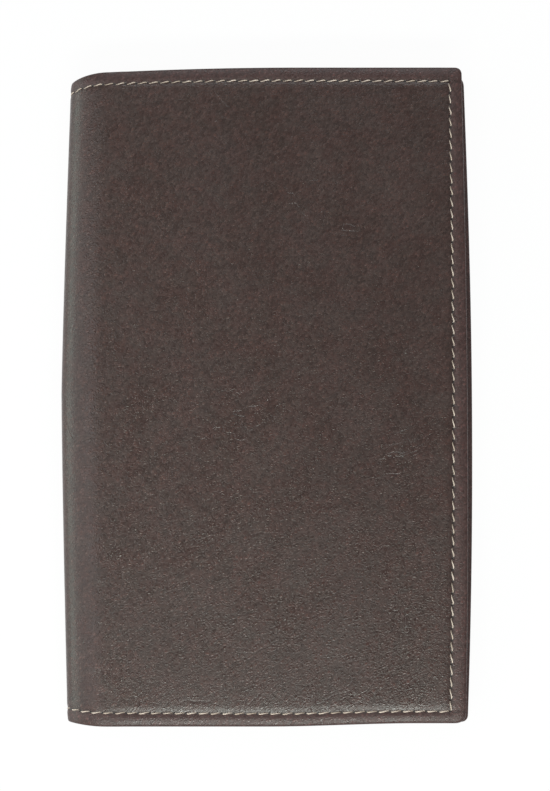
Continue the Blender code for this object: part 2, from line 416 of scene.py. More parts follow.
def outer_leather_half(side):
    fore_x = fore_edge[side]
    piece = flat_blank(
        side + "_outer_leather", (middle_x, -half_length, 0), (fore_x, half_length, turned_thickness)
    )
    round_corner(piece, fore_x, half_length, head_corner[side], 5)
    round_corner(piece, fore_x, -half_length, tail_corner[side], 5)
    pick(piece, "edges", lambda at, way: abs(way.z) < 0.1 and at.x > middle_x + touch)
    round_picked(turned_thickness / 2 * 0.999, 3)
    bpy.ops.mesh.select_all(action="SELECT")
    bpy.ops.mesh.remove_doubles(threshold=2e-5)
    bpy.ops.mesh.normals_make_consistent(inside=False)
    open_the_middle(piece)

    # Even cuts stop short of the rims. Each seam line is cut along, and on either side for its groove.
    fore_strip, end_strip = 0.0056, 0.0052
    cut_lines(0, [middle_x + middle_strip] + evenly(middle_x, fore_x - fore_strip, half_stitch))
    cut_lines(1, evenly(end_strip - half_length, half_length - end_strip, half_stitch))
    for start, direction, length, count in seam_lines(side):
        for away in (-groove_cut, 0.0, groove_cut):
            point = (start[0] - direction[1] * away, start[1] + direction[0] * away, 0)
            cut_through(point, (-direction[1], direction[0], 0))
    cut_lines(0, [fore_x - hem_width])
    cut_lines(1, [half_length - hem_width, hem_width - half_length])
    pick(
        piece,
        "faces",
        lambda at, way: at.z > turned_thickness - touch
        and at.x < fore_x - hem_width
        and abs(at.y) < half_length - hem_width,
    )
    bpy.ops.mesh.delete(type="FACE")
    nothing_selected()
    subdivide(piece)

    # The hide isn't quite flat: it lies in soft swells, and it dips along the thread. Its hem is pared thin
    # round the spine, where there is no board.
    co = points_of(piece)
    outer = np.clip(1 - co[:, 2] / 0.0008, 0, 1)
    from_spine = np.clip((co[:, 0] - middle_x) / 0.02, 0, 1)
    swell = np.array(
        [
            broad_swell * noise.noise((x * 28, y * 22, 3.1 if side == "front" else 9.7))
            + small_swell * noise.noise((x * 95, y * 80, 5.3))
            for x, y, z in co
        ]
    )
    sink = seam_sink(co[:, 0], co[:, 1], side, thread_sink)
    co[:, 2] += outer * (swell * from_spine + sink)
    co[:, 2] += edge_drop(co[:, 0], co[:, 1], side) * (1 - co[:, 2] / turned_thickness)
    pared = 1 - turned_round_spine / turned_thickness
    co[:, 2] *= 1 - pared * (1 - onto_board(co[:, 0]))
    near_rim = np.clip(1 - (fore_x - co[:, 0]) / 0.004, 0, 1)
    co[:, 0] += near_rim * np.array([rim_waver * noise.noise((1.7, y * 60, z * 200)) for x, y, z in co])
    move_points(piece, co)
    apply_modifier(piece, "SOLIDIFY", thickness=leather_thickness, offset=-1, use_even_offset=True)
    outside = len(co)
    co = points_of(piece)
    co[:outside, 0], co[:outside, 1] = square_the_rim(co[:outside, 0], co[:outside, 1], side)
    move_points(piece, co)
    mark_hide(piece, side)
    lay_round_spine(piece, side)
    smooth_shaded(piece)
    return piece


def node(tree, kind, inputs=None, **settings):
    """A node with its inputs set to values or linked to other sockets."""
    made = tree.nodes.new(kind)
    for name, value in settings.items():
        setattr(made, name, value)
    for socket, value in (inputs or {}).items():
        if isinstance(value, bpy.types.NodeSocket):
            tree.links.new(value, made.inputs[socket])
        else:
            made.inputs[socket].default_value = value
    return made


def math_node(tree, operation, a, b=0.0):
    return node(tree, "ShaderNodeMath", {0: a, 1: b}, operation=operation).outputs[0]


def vector_node(tree, operation, inputs):
    return node(tree, "ShaderNodeVectorMath", inputs, operation=operation).outputs[0]


def summed(tree, total, *terms):
    """A starting value with each term's value added to it, times its factor."""
    for value, factor in terms:
        total = math_node(tree, "ADD", total, math_node(tree, "MULTIPLY", value, factor))
    return total


def xyz_of(tree, vector):
    return node(tree, "ShaderNodeSeparateXYZ", {0: vector}).outputs


def ramp_node(tree, value, low, high, to_low=0.0, to_high=1.0):
    """A smooth step from to_low to to_high as value goes from low to high."""
    inputs = {"Value": value, "From Min": low, "From Max": high, "To Min": to_low, "To Max": to_high}
    return node(tree, "ShaderNodeMapRange", inputs, interpolation_type="SMOOTHSTEP").outputs["Result"]


def noise_node(tree, place, scale, detail=2.0, **more):
    inputs = {"Vector": place, "Scale": scale, "Detail": detail, **more}
    return node(tree, "ShaderNodeTexNoise", inputs).outputs


def mix_colours(tree, factor, a, b, blend="MIX"):
    made = node(tree, "ShaderNodeMix", {0: factor, 6: a, 7: b}, data_type="RGBA", blend_type=blend)
    return made.outputs[2]


def laid_over(tree, colour, *layers):
    """A colour under layers of others, each laid on by its mask times its strength."""
    for mask, strength, over in layers:
        colour = mix_colours(tree, math_node(tree, "MULTIPLY", mask, strength), colour, (*over, 1))
    return colour


def drifted(tree, place, scale, reach):
    """A place moved about by noise, so that no pattern on it runs dead straight."""
    off = vector_node(tree, "SUBTRACT", {0: noise_node(tree, place, scale)["Color"], 1: (0.5, 0.5, 0.5)})
    return vector_node(tree, "ADD", {0: place, 1: vector_node(tree, "SCALE", {0: off, "Scale": reach})})


def shader_group(name, inputs, outputs):
    """An empty node group with named sockets, the outputs all numbers, and its input and output nodes."""
    group = bpy.data.node_groups.new(name, "ShaderNodeTree")
    for label, kind, value in inputs:
        socket = group.interface.new_socket(label, in_out="INPUT", socket_type="NodeSocket" + kind)
        if value is not None:
            socket.default_value = value
    for label in outputs:
        group.interface.new_socket(label, in_out="OUTPUT", socket_type="NodeSocketFloat")
    return group, group.nodes.new("NodeGroupInput").outputs, group.nodes.new("NodeGroupOutput").inputs


def group_node(tree, group, inputs):
    return node(tree, "ShaderNodeGroup", inputs, node_tree=group).outputs


def hide_grain_group():
    """Pebbles of two sizes with pores between them, drawn out one way, and fine creases in places."""
    tree, given, made = shader_group(
        "hide_grain",
        [("Place", "Vector", None), ("Pebbles per metre", "Float", 1600.0), ("Creases", "Float", 1.0)],
        ("Height", "Pores", "Creases", "Tone", "Dye", "Dust", "Pebble"),
    )
    place = given["Place"]
    drawn = node(
        tree,
        "ShaderNodeMapping",
        {
            "Vector": drifted(tree, place, 420.0, 0.0006),
            "Rotation": (0, 0, math.radians(42)),
            "Scale": (1.4, 1.0, 1.0),
        },
        vector_type="TEXTURE",
    ).outputs[0]

    def pebble_tops(scale, edge_width):
        inputs = {"Vector": drawn, "Scale": scale}
        cells = node(tree, "ShaderNodeTexVoronoi", inputs, feature="DISTANCE_TO_EDGE")
        return ramp_node(tree, cells.outputs["Distance"], 0.0, edge_width)

    pebbles = given["Pebbles per metre"]
    small_top = pebble_tops(pebbles, 0.42)
    large_top = pebble_tops(math_node(tree, "MULTIPLY", pebbles, 0.43), 0.2)
    dust = noise_node(tree, drawn, math_node(tree, "MULTIPLY", pebbles, 1.5), 1.0)["Fac"]

    # Creases are thin valleys where a broad noise crosses its middle, kept only in a few areas.
    fold = noise_node(tree, drawn, 75.0, 3.0, Roughness=0.55, Distortion=0.5)["Fac"]
    from_middle = math_node(tree, "ABSOLUTE", math_node(tree, "SUBTRACT", fold, 0.5))
    valley = ramp_node(tree, from_middle, 0.0, 0.010, 1.0, 0.0)
    area = ramp_node(tree, noise_node(tree, place, 30.0, 1.0)["Fac"], 0.56, 0.68)
    creases = math_node(tree, "MULTIPLY", math_node(tree, "MULTIPLY", valley, area), given["Creases"])

    height = summed(tree, 0.0, (small_top, 0.55), (large_top, 0.26), (dust, 0.30), (creases, -0.7))
    tree.links.new(height, made["Height"])
    pores = math_node(tree, "MULTIPLY", small_top, large_top)
    tree.links.new(math_node(tree, "SUBTRACT", 1.0, pores), made["Pores"])
    tree.links.new(creases, made["Creases"])
    tree.links.new(noise_node(tree, place, 26.0, 4.0, Roughness=0.6)["Fac"], made["Tone"])
    dye = noise_node(tree, place, 210.0, 3.0, Roughness=0.6)["Fac"]
    tree.links.new(ramp_node(tree, dye, 0.38, 0.62), made["Dye"])
    tree.links.new(ramp_node(tree, dust, 0.42, 0.66), made["Dust"])
    cells = node(tree, "ShaderNodeTexVoronoi", {"Vector": drawn, "Scale": pebbles})
    one_by_one = node(tree, "ShaderNodeSeparateColor", {0: cells.outputs["Color"]}).outputs[0]
    tree.links.new(one_by_one, made["Pebble"])
    return tree


def needle_group():
    """Masks along a seam: the needle holes at each whole stitch, where shade is painted near black and the
    relief dips, the pressed groove between them, where shade is painted, and the rim.
    """
    tree, given, made = shader_group(
        "needle_holes",
        [("On seam", "Vector", None), ("Stitch length", "Float", stitch_length)],
        ("Holes", "Groove shade", "Rim"),
    )
    stitches, across, rim = xyz_of(tree, given["On seam"])
    along = math_node(tree, "MULTIPLY", math_node(tree, "PINGPONG", stitches, 0.5), given["Stitch length"])
    along = math_node(tree, "MULTIPLY", along, 0.75)
    squares = [math_node(tree, "POWER", leg, 2.0) for leg in (along, across)]
    away = math_node(tree, "SQRT", math_node(tree, "ADD", *squares))
    tree.links.new(ramp_node(tree, away, 0.00012, 0.00038, 1.0, 0.0), made["Holes"])
    from_seam = math_node(tree, "ABSOLUTE", across)
    tree.links.new(ramp_node(tree, from_seam, 0.0002, 0.0011, 1.0, 0.0), made["Groove shade"])
    outside = ramp_node(tree, rim, seam_mark + 0.0032, seam_mark + 0.0040, 1.0, 0.0)
    marked = math_node(tree, "GREATER_THAN", rim, seam_mark / 2)
    tree.links.new(math_node(tree, "MULTIPLY", outside, marked), made["Rim"])
    return tree


def handling_group():
    """Where hands rub: a patchy mask for polish, and sparse pale specks of dust."""
    tree, given, made = shader_group("handling", [("Place", "Vector", None)], ("Polish", "Specks"))
    patch = noise_node(tree, given["Place"], 60.0, 5.0, Roughness=0.62)["Fac"]
    tree.links.new(ramp_node(tree, patch, 0.38, 0.68), made["Polish"])
    cells = node(tree, "ShaderNodeTexVoronoi", {"Vector": given["Place"], "Scale": 210.0})
    near = ramp_node(tree, cells.outputs["Distance"], 0.022, 0.045, 1.0, 0.0)
    chosen = node(tree, "ShaderNodeSeparateColor", {0: cells.outputs["Color"]}).outputs[0]
    kept = math_node(tree, "GREATER_THAN", chosen, 0.93)
    tree.links.new(math_node(tree, "MULTIPLY", near, kept), made["Specks"])
    return tree


hide_grain = hide_grain_group()
needle_holes = needle_group()
handling = handling_group()


def new_material(name):
    material = bpy.data.materials.new(name)
    material.use_nodes = True
    return material, material.node_tree, material.node_tree.nodes["Principled BSDF"]


def stored(tree, name):
    return node(tree, "ShaderNodeAttribute", attribute_name=name, attribute_type="GEOMETRY").outputs["Vector"]


def add_relief(tree, shader, height, depth):
    """Fine relief, as deep as this in metres where the height is one."""
    relief = node(tree, "ShaderNodeBump", {"Height": height, "Strength": 1.0, "Distance": depth})
    tree.links.new(relief.outputs["Normal"], shader.inputs["Normal"])


def dressed_leather(name, face, pale, rough, pebbles, crease_amount, bump, painted_spine_sheen=False):
    """Aniline-dyed grain leather: face and pale are its darker and its lighter dye tone. The last choice
    paints light into the colour: lighter and greyer towards the spine, where light from the left and its sheen
    fall, and darker away from it."""
    material, tree, shader = new_material(name)
    place = stored(tree, "on_hide")
    grain = group_node(
        tree, hide_grain, {"Place": place, "Pebbles per metre": pebbles, "Creases": crease_amount}
    )
    seam = group_node(tree, needle_holes, {"On seam": stored(tree, "on_seam")})
    worn = group_node(tree, handling, {"Place": place})
    colour = mix_colours(tree, ramp_node(tree, grain["Tone"], 0.3, 0.7), (*face, 1), (*pale, 1))
    dye = mix_colours(tree, grain["Dye"], (1.08, 0.965, 0.96, 1), (0.92, 1.035, 1.04, 1))
    colour = mix_colours(tree, 1.0, colour, dye, "MULTIPLY")
    if painted_spine_sheen:
        # Painted light and sheen: the colour is lighter and greyer towards the spine and darker away from it.
        from_spine = math_node(tree, "ABSOLUTE", xyz_of(tree, place)[0])
        spine_sheen_share = ramp_node(tree, from_spine, 0.016, 0.092, 1.0, 0.0)
        painted_sheen_tint = mix_colours(tree, spine_sheen_share, (0.885, 0.877, 0.875, 1), (1.11, 1.17, 1.17, 1))
        colour = mix_colours(tree, 1.0, colour, painted_sheen_tint, "MULTIPLY")
    rubbed = (pale[0] * 1.18, pale[1], pale[2] * 1.10, 1)
    colour = mix_colours(tree, seam["Rim"], colour, rubbed)
    pebble_shade = summed(tree, 0.62, (grain["Pebble"], 0.76))
    colour = vector_node(tree, "SCALE", {0: colour, "Scale": pebble_shade})
    crown = tuple(c * 1.5 for c in pale)
    dark = tuple(c * 0.40 for c in face)
    # Painted shade: darker along the creases and the seam's groove, and near black in the needle holes.
    colour = laid_over(
        tree,
        colour,
        (grain["Dust"], 0.35, crown),
        (grain["Pores"], 0.60, dark),
        (grain["Creases"], 0.25, dark),
        (seam["Groove shade"], 0.25, dark),
        (seam["Holes"], 0.85, (0.006, 0.004, 0.003)),
    )

    # A free edge is burnished, and a creased line runs beside it. The mark is one at the edge itself.
    edge = stored(tree, "near_free_edge")
    crease_mark = 0.76
    burnished = ramp_node(tree, edge, 0.955, 0.985)
    from_crease = math_node(tree, "ABSOLUTE", math_node(tree, "SUBTRACT", edge, crease_mark))
    creased = ramp_node(tree, from_crease, 0.012, 0.034, 0.45, 0.0)
    colour = mix_colours(tree, math_node(tree, "MAXIMUM", burnished, creased), colour, (*dark, 1))
    colour = laid_over(tree, colour, (worn["Specks"], 0.35, (0.35, 0.32, 0.28)))
    tree.links.new(colour, shader.inputs["Base Color"])
    gloss = summed(
        tree,
        rough - 0.12,
        (worn["Polish"], -0.09),
        (grain["Pores"], 0.24),
        (grain["Pebble"], 0.09),
        (seam["Rim"], 0.10),
        (burnished, -0.2),
    )
    tree.links.new(gloss, shader.inputs["Roughness"])
    add_relief(tree, shader, summed(tree, grain["Height"], (seam["Holes"], -1.4)), bump)
    shader.inputs["Specular IOR Level"].default_value = 0.45
    return material


outer_leather = dressed_leather(
    "dark brown grain leather",
    face=(0.0580, 0.0315, 0.0262),
    pale=(0.0680, 0.0372, 0.0310),
    rough=0.20,
    pebbles=1650.0,
    crease_amount=1.0,
    bump=0.00006,
    painted_spine_sheen=True,
)
for side in ("back", "front"):
    half = outer_leather_half(side)
    dress(half, outer_leather)
    bend_with_spine(half, side)
    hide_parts(side + "_cover_leather", "spine_leather")

# Stiffeners. A sheet of grey board 0.8 mm thick lies in each cover, between the leather and the lining. It is
# die-cut and glued, and nothing shows of it on the finished holder, so the part's own solids carry it.

grey_board, tree, shader = new_material("grey board")
fibres = node(
    tree,
    "ShaderNodeMapping",
    {"Vector": node(tree, "ShaderNodeTexCoord").outputs["Object"], "Scale": (1.0, 0.25, 1.0)},
).outputs[0]
pulp = noise_node(tree, fibres, 900.0, 4.0)["Fac"]
tree.links.new(
    mix_colours(tree, ramp_node(tree, pulp, 0.35, 0.7), (0.29, 0.27, 0.245, 1), (0.40, 0.38, 0.345, 1)),
    shader.inputs["Base Color"],
)
shader.inputs["Roughness"].default_value = 0.9
add_relief(tree, shader, pulp, 0.00006)
for name in ("back_board", "front_board"):
    dress(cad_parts[name], grey_board)

# Linings. A plain woven cloth is glued over the boards and the hems, turned under at its edges, and it runs
# round the inside of the spine. The seam goes through it near its edge.

lining_thickness = 0.0008
lining_margin = 0.0018
lining_rounding = 0.0003
lining_sink = 0.0002
hem_slope = 0.0035
lining_face_on_leather = 0.0019
lining_face_on_board = 0.0030
lining_face_on_thin_hem = 0.0033
lining_face_on_hem = 0.0044


def lining_face(x, y, side):
    """How deep the lining's inner face lies: on the leather at the spine, on the board, and over the hem."""
    climb = onto_board(x)
    base = lining_face_on_leather + (lining_face_on_board - lining_face_on_leather) * climb
    on_hem = lining_face_on_thin_hem + (lining_face_on_hem - lining_face_on_thin_hem) * climb
    inset = np.minimum(half_length - np.abs(y), fore_edge[side] - x)
    over = eased((hem_width + hem_slope - inset) / (hem_slope - 0.0003))
    return base + (on_hem - base) * over


def lining_half(side):
    low = (middle_x, lining_margin - half_length)
    high = (fore_edge[side] - lining_margin, half_length - lining_margin)
    piece = flat_blank(side + "_lining_cloth", (*low, 0), (*high, lining_thickness))
    pick(piece, "edges", lambda at, way: at.x > middle_x + touch)
    round_picked(lining_rounding, 3)
    cut_lines(0, [middle_x + middle_strip] + evenly(middle_x, high[0] - lining_rounding, half_stitch))
    cut_lines(1, evenly(low[1] + lining_rounding, high[1] - lining_rounding, half_stitch))
    open_the_middle(piece)
    nothing_selected()
    mark_hide(piece, side)
    co = points_of(piece)
    face = lining_face(co[:, 0], co[:, 1], side)
    dip = seam_sink(co[:, 0], co[:, 1], side, lining_sink) * (co[:, 2] / lining_thickness)
    co[:, 2] += face - lining_thickness - dip
    move_points(piece, co)
    lay_round_spine(piece, side)
    smooth_shaded(piece)
    return piece


def weave_group():
    """Plain weave: warp and weft yarns that pass over each other in turn, uneven in thickness and tone."""
    tree, given, made = shader_group(
        "plain_weave",
        [("Place", "Vector", None), ("Yarns per metre", "Float", 2600.0)],
        ("Height", "Gap shade", "Tone"),
    )
    rounds, counts = [], []
    for across in xyz_of(tree, drifted(tree, given["Place"], 260.0, 0.00035))[:2]:
        yarns = math_node(tree, "MULTIPLY", across, given["Yarns per metre"])
        half_turn = math_node(tree, "MULTIPLY", math_node(tree, "FRACT", yarns), math.pi)
        rounds.append(math_node(tree, "SINE", half_turn))
        counts.append(math_node(tree, "FLOOR", yarns))
    warp_round, weft_round = rounds
    warp_on_top = math_node(tree, "PINGPONG", math_node(tree, "ADD", *counts), 1.0)
    top = node(tree, "ShaderNodeMix", {0: warp_on_top, 2: weft_round, 3: warp_round}, data_type="FLOAT")
    crossing = math_node(tree, "MULTIPLY", warp_round, weft_round)
    height = summed(tree, 0.0, (top.outputs[0], 0.6), (crossing, 0.4))
    tree.links.new(height, made["Height"])
    tree.links.new(ramp_node(tree, height, 0.1, 0.55, 1.0, 0.0), made["Gap shade"])
    along_yarns = node(tree, "ShaderNodeMapping", {"Vector": given["Place"], "Scale": (1.0, 0.08, 1.0)})
    tree.links.new(noise_node(tree, along_yarns.outputs[0], 1500.0)["Fac"], made["Tone"])
    return tree


plain_weave = weave_group()
lining_cloth, tree, shader = new_material("brown lining cloth")
place = stored(tree, "on_hide")
weave = group_node(tree, plain_weave, {"Place": place})
seam = group_node(tree, needle_holes, {"On seam": stored(tree, "on_seam")})
worn = group_node(tree, handling, {"Place": place})
yarn_tone = ramp_node(tree, weave["Tone"], 0.3, 0.7)
colour = mix_colours(tree, yarn_tone, (0.046, 0.031, 0.025, 1), (0.068, 0.048, 0.039, 1))
# Painted shade: near black in the gaps between the yarns and in the needle holes.
colour = laid_over(
    tree,
    colour,
    (weave["Gap shade"], 0.6, (0.010, 0.008, 0.007)),
    (worn["Polish"], 0.15, (0.070, 0.060, 0.052)),
    (seam["Holes"], 0.8, (0.004, 0.003, 0.003)),
)
tree.links.new(colour, shader.inputs["Base Color"])
tree.links.new(ramp_node(tree, weave["Height"], 0.0, 1.0, 0.9, 0.7), shader.inputs["Roughness"])
add_relief(tree, shader, weave["Height"], 0.00008)
shader.inputs["Specular IOR Level"].default_value = 0.3
shader.inputs["Sheen Weight"].default_value = 0.12
shader.inputs["Sheen Roughness"].default_value = 0.5
shader.inputs["Sheen Tint"].default_value = (0.75, 0.55, 0.45, 1)

for side in ("back", "front"):
    half = lining_half(side)
    dress(half, lining_cloth)
    bend_with_spine(half, side)
    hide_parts(side + "_lining", "spine_lining")

# Pockets. A panel of the same leather, matt and 0.9 mm thick, is sewn into the head, fore edge and tail seam
# of each cover, and stays open towards the spine. Its free edge is cut with a shallow thumb notch,
# rounded and burnished, with a creased line along it.

pocket_width = 0.062
pocket_under = 0.0046
pocket_face = 0.0056
pocket_head_corner = 0.0012
pocket_tail_corner = 0.0016
notch_depth = 0.006
notch_half_length = 0.016
notch_reach = 0.022
crease_inset = 0.0024
crease_spread = 0.00035
crease_depth = 0.00012
free_edge_zone = 0.010


def pocket(side):
    fore_x = fore_edge[side] - lining_margin
    free_x = fore_x - pocket_width
    end = half_length - lining_margin
    piece = flat_blank(side + "_pocket_panel", (free_x, -end, pocket_under), (fore_x, end, pocket_face))
    round_corner(piece, fore_x, end, pocket_head_corner, 4)
    round_corner(piece, fore_x, -end, pocket_tail_corner, 4)
    pick(piece, "edges", lambda at, way: abs(way.z) < 0.1)
    round_picked(0.00035, 3)
    end_strip = 0.0009
    notch_cuts = evenly(-notch_half_length * 1.1, notch_half_length * 1.1, 0.0011)
    crease_cuts = [crease_inset - 0.0005, crease_inset, crease_inset + 0.0005]
    cut_lines(0, [free_x + inset for inset in (0.0008, 0.0014, *crease_cuts)])
    cut_lines(0, evenly(free_x + crease_inset + 0.0012, fore_x - end_strip, half_stitch))
    cut_lines(1, evenly(notch_cuts[-1], end - end_strip, half_stitch))
    cut_lines(1, evenly(end_strip - end, notch_cuts[0], half_stitch))
    cut_lines(1, notch_cuts)
    nothing_selected()
    subdivide(piece)
    mark_hide(piece, side)
    co = points_of(piece)
    inset = co[:, 0] - free_x
    near_free_edge = np.clip(1 - inset / free_edge_zone, 0, 1)
    keep_on_points(piece, "near_free_edge", np.stack([near_free_edge] * 3, axis=1))
    across_notch = np.clip(np.abs(co[:, 1]) / notch_half_length, 0, 1)
    notch = notch_depth * (1 + np.cos(np.pi * across_notch)) / 2
    pushed = np.clip(1 - inset / notch_reach, 0, 1) ** 1.3
    face = np.clip((co[:, 2] - pocket_under) / (pocket_face - pocket_under), 0, 1)
    sink = seam_sink(co[:, 0], co[:, 1], side, thread_sink)
    swell = np.array([0.000072 * noise.noise((x * 40, y * 34, 21.5)) for x, y, z in co])
    free_lift = 0.0001 * np.clip(1 - inset / 0.012, 0, 1)
    crease = crease_depth * np.exp(-(((inset - crease_inset) / crease_spread) ** 2))
    co[:, 2] += face * (free_lift + swell - sink - crease)
    co[:, 0] += notch * pushed
    move_points(piece, co)
    lay_round_spine(piece, side)
    smooth_shaded(piece)
    return piece


pocket_leather = dressed_leather(
    "matt brown pocket leather",
    face=(0.057, 0.036, 0.030),
    pale=(0.075, 0.049, 0.041),
    rough=0.62,
    pebbles=1500.0,
    crease_amount=0.6,
    bump=0.000032,
)
for side in ("back", "front"):
    panel = pocket(side)
    dress(panel, pocket_leather)
    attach(panel, side + "_cover")
    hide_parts(side + "_pocket")

# Sewing thread. One line of tan polyester thread runs along the head, fore edge and tail of the whole holder
# and round both ends of the spine, through the leather, the lining and the pockets. Each stitch slants a
# little and dives into its needle holes. The bobbin side shows the same line inside.

thread_thickness = 0.00036
stitch_share = 0.93
stitch_dive = 0.00030
stitch_tilt = 0.00006
stitch_sway = 0.00008


def one_stitch():
    """A stitch along X with its top at -Z, thick in the middle and drawn down at both ends."""
    nothing_selected()
    bpy.ops.mesh.primitive_cylinder_add(vertices=8, radius=0.5, depth=1.0, end_fill_type="TRIFAN")
    stitch = bpy.context.object
    stitch.name = "stitch"
    stitch.rotation_euler = (0, math.pi / 2, 0)
    bpy.ops.object.transform_apply(location=True, rotation=True, scale=True)
    open_up(stitch)
    cut_lines(0, [-0.46, -0.36, -0.2, 0.0, 0.2, 0.36, 0.46])
    bpy.ops.mesh.select_all(action="SELECT")
    bpy.ops.mesh.normals_make_consistent(inside=False)
    nothing_selected()
    co = points_of(stitch)
    keep_on_points(stitch, "on_thread", co)
    t = np.clip(co[:, 0] * 2, -1, 1)
    girth = (0.84 + 0.16 * np.tanh(2.2 * t)) * np.sqrt(np.clip(1 - 0.85 * t**6, 0, 1))
    x = co[:, 0] * stitch_length * stitch_share
    y = co[:, 1] * thread_thickness * girth + stitch_sway * np.sin(t * math.pi)
    z = co[:, 2] * thread_thickness * girth + stitch_dive * t**4 - stitch_tilt * t
    move_points(stitch, np.stack((x, y, z), axis=1))
    return stitch


def sewn_line(name, side, lines, height, on_inside, slants, seed):
    """Copies of the one stitch along flat seam lines, joined into one piece. Slants are in degrees."""
    dice = random.Random(seed)
    copies = []
    for (start, direction, length, count), slant in zip(lines, slants):
        for i in range(count):
            along = (i + 0.5) * length / count
            x = start[0] + direction[0] * along
            y = start[1] + direction[1] * along
            turn = math.atan2(direction[1], direction[0]) + math.radians(slant + dice.uniform(-3, 3))
            copy = stitch.copy()
            copy.data = stitch.data.copy()
            bpy.context.scene.collection.objects.link(copy)
            stretch = length / count / stitch_length * dice.uniform(0.96, 1.03)
            size = Matrix.Diagonal((stretch, dice.uniform(0.92, 1.08), 1, 1))
            flip = Matrix.Diagonal((1, 1, -1 if on_inside else 1, 1))
            to_place = Matrix.Translation((x, y, height(x, y))) @ Matrix.Rotation(turn, 4, "Z")
            copy.data.transform(to_place @ flip @ size)
            shade = dice.uniform(0, 1)
            keep_on_points(copy, "thread_shade", [(shade, shade, shade)] * len(copy.data.vertices))
            copies.append(copy)
    nothing_selected()
    for copy in copies:
        copy.select_set(True)
    bpy.context.view_layer.objects.active = copies[0]
    bpy.ops.object.join()
    piece = bpy.context.object
    piece.name = name
    if on_inside:
        turn_inside_out(piece)
    if side:
        lay_round_spine(piece, side)
    smooth_shaded(piece, 60)
    dress(piece, tan_thread)
    return piece


tan_thread, tree, shader = new_material("tan sewing thread")
on_thread = stored(tree, "on_thread")
along, across = xyz_of(tree, on_thread)[:2]
twist = math_node(tree, "PINGPONG", summed(tree, across, (along, 4.2)), 0.5)
strand = ramp_node(tree, twist, 0.0, 0.22)
shade_between_strands = math_node(tree, "SUBTRACT", 1.0, strand)
fluff = ramp_node(tree, noise_node(tree, on_thread, 22.0, 3.0)["Fac"], 0.45, 0.75)
stitch_shade = xyz_of(tree, stored(tree, "thread_shade"))[0]
shaded_rising_end = ramp_node(tree, along, -0.42, 0.1, 1.0, 0.0)
ends = ramp_node(tree, math_node(tree, "ABSOLUTE", along), 0.40, 0.5)
colour = mix_colours(tree, stitch_shade, (0.50, 0.39, 0.31, 1), (0.78, 0.64, 0.54, 1))
# Painted shade: darker between the strands and at each stitch's rising end, and near black at its ends where
# it dives into the holes.
colour = laid_over(
    tree,
    colour,
    (shade_between_strands, 0.6, (0.13, 0.10, 0.07)),
    (fluff, 0.35, (0.62, 0.55, 0.44)),
    (shaded_rising_end, 0.45, (0.13, 0.095, 0.065)),
    (ends, 0.9, (0.04, 0.030, 0.022)),
)
tree.links.new(colour, shader.inputs["Base Color"])
tree.links.new(ramp_node(tree, strand, 0.0, 1.0, 0.6, 0.36), shader.inputs["Roughness"])
shader.inputs["Specular IOR Level"].default_value = 0.7
add_relief(tree, shader, strand, 0.00006)

stitch = one_stitch()
thread_bedded = 0.00006
bobbin_bedded = 0.00002
for side, seed in (("back", 11), ("front", 23)):
    outside = lambda x, y: thread_bedded + edge_drop(x, y, side)
    thread = sewn_line(side + "_outer_stitches", side, seam_lines(side), outside, False, (7, 9, 4), seed)
    bend_with_spine(thread, side)

    pocket_free_x = fore_edge[side] - lining_margin - pocket_width
    inside = lambda x, y: bobbin_bedded + (pocket_face if x > pocket_free_x else lining_face(x, y, side))
    bobbin = sewn_line(
        side + "_inner_stitches", side, seam_lines(side), inside, True, (11, 11, 11), seed + 1
    )
    bend_with_spine(bobbin, side)

# Pencil loop. A strap of the pocket leather is folded round a former into a loop, its two ends lie on each
# other and are sewn to the lining of the back cover, so the pencil lies in the gutter by the spine.

loop_length = 0.038
loop_leather = 0.0009
skived_leather = 0.00043
skive_start = 0.0028
skive_slope = 0.0022
loop_radius = 0.00415
loop_left = -0.04524
loop_right = loop_left + 0.002
loop_middle_z = closed_thickness / 2
flange_end = board_start + 0.006
flange_under = 0.0033
flange_face = flange_under + loop_leather
strap_seam_insets = (0.0013, 0.0050)
strap_seam_half_length = loop_length / 2 - 0.0015
root_radius = 0.0010
sweep_radius = 0.0040
strap_on_hide = np.array([0.3, 0.2, 0.1])


def pencil_loop_strap():
    """The strap's outer face is drawn edge by edge, from its upper end round the loop to its lower end."""
    nothing_selected()
    bpy.ops.mesh.primitive_plane_add(size=1, location=(flange_end, 0, flange_face))
    strap = bpy.context.object
    strap.name = "pencil_loop_strap"
    strap.scale = (0.001, loop_length, 1)
    bpy.ops.object.transform_apply(location=True, rotation=True, scale=True)
    open_up(strap)
    pick(strap, "edges", lambda at, way: at.x > flange_end + 0.0003)
    bpy.ops.mesh.select_mode(type="VERT")
    bpy.ops.mesh.delete(type="VERT")
    bpy.ops.mesh.select_all(action="SELECT")
    bpy.ops.transform.translate(value=(0.0005, 0, 0))

    def straight(length, steps):
        for _ in range(steps):
            bpy.ops.mesh.extrude_region_move(TRANSFORM_OT_translate={"value": (length / steps, 0, 0)})

    def arc(x, z, degrees, steps):
        bpy.ops.mesh.spin(steps=steps, angle=-math.radians(degrees), center=(x, 0, z), axis=(0, 1, 0))

    root_z = flange_face + root_radius
    root_x = loop_right + math.sqrt((loop_radius + root_radius) ** 2 - (loop_middle_z - root_z) ** 2)
    root_turn = 90 + math.degrees(math.asin((loop_middle_z - root_z) / (loop_radius + root_radius)))
    straight(root_x - flange_end, 5)
    arc(root_x, root_z, root_turn, 7)
    arc(loop_right, loop_middle_z, -root_turn, 11)
    straight(loop_left - loop_right, 2)
    arc(loop_left, loop_middle_z, -180, 18)
    straight(loop_right - loop_left, 2)
    low_z = loop_middle_z - loop_radius
    lift = math.degrees(math.acos(1 - (flange_under - low_z) / (loop_radius + sweep_radius)))
    arc(loop_right, loop_middle_z, -lift, 4)
    sweep_x = loop_right + (loop_radius + sweep_radius) * math.sin(math.radians(lift))
    arc(sweep_x, flange_under - sweep_radius, lift, 4)
    straight(flange_end - sweep_x, 5)
    nothing_selected()
    return strap


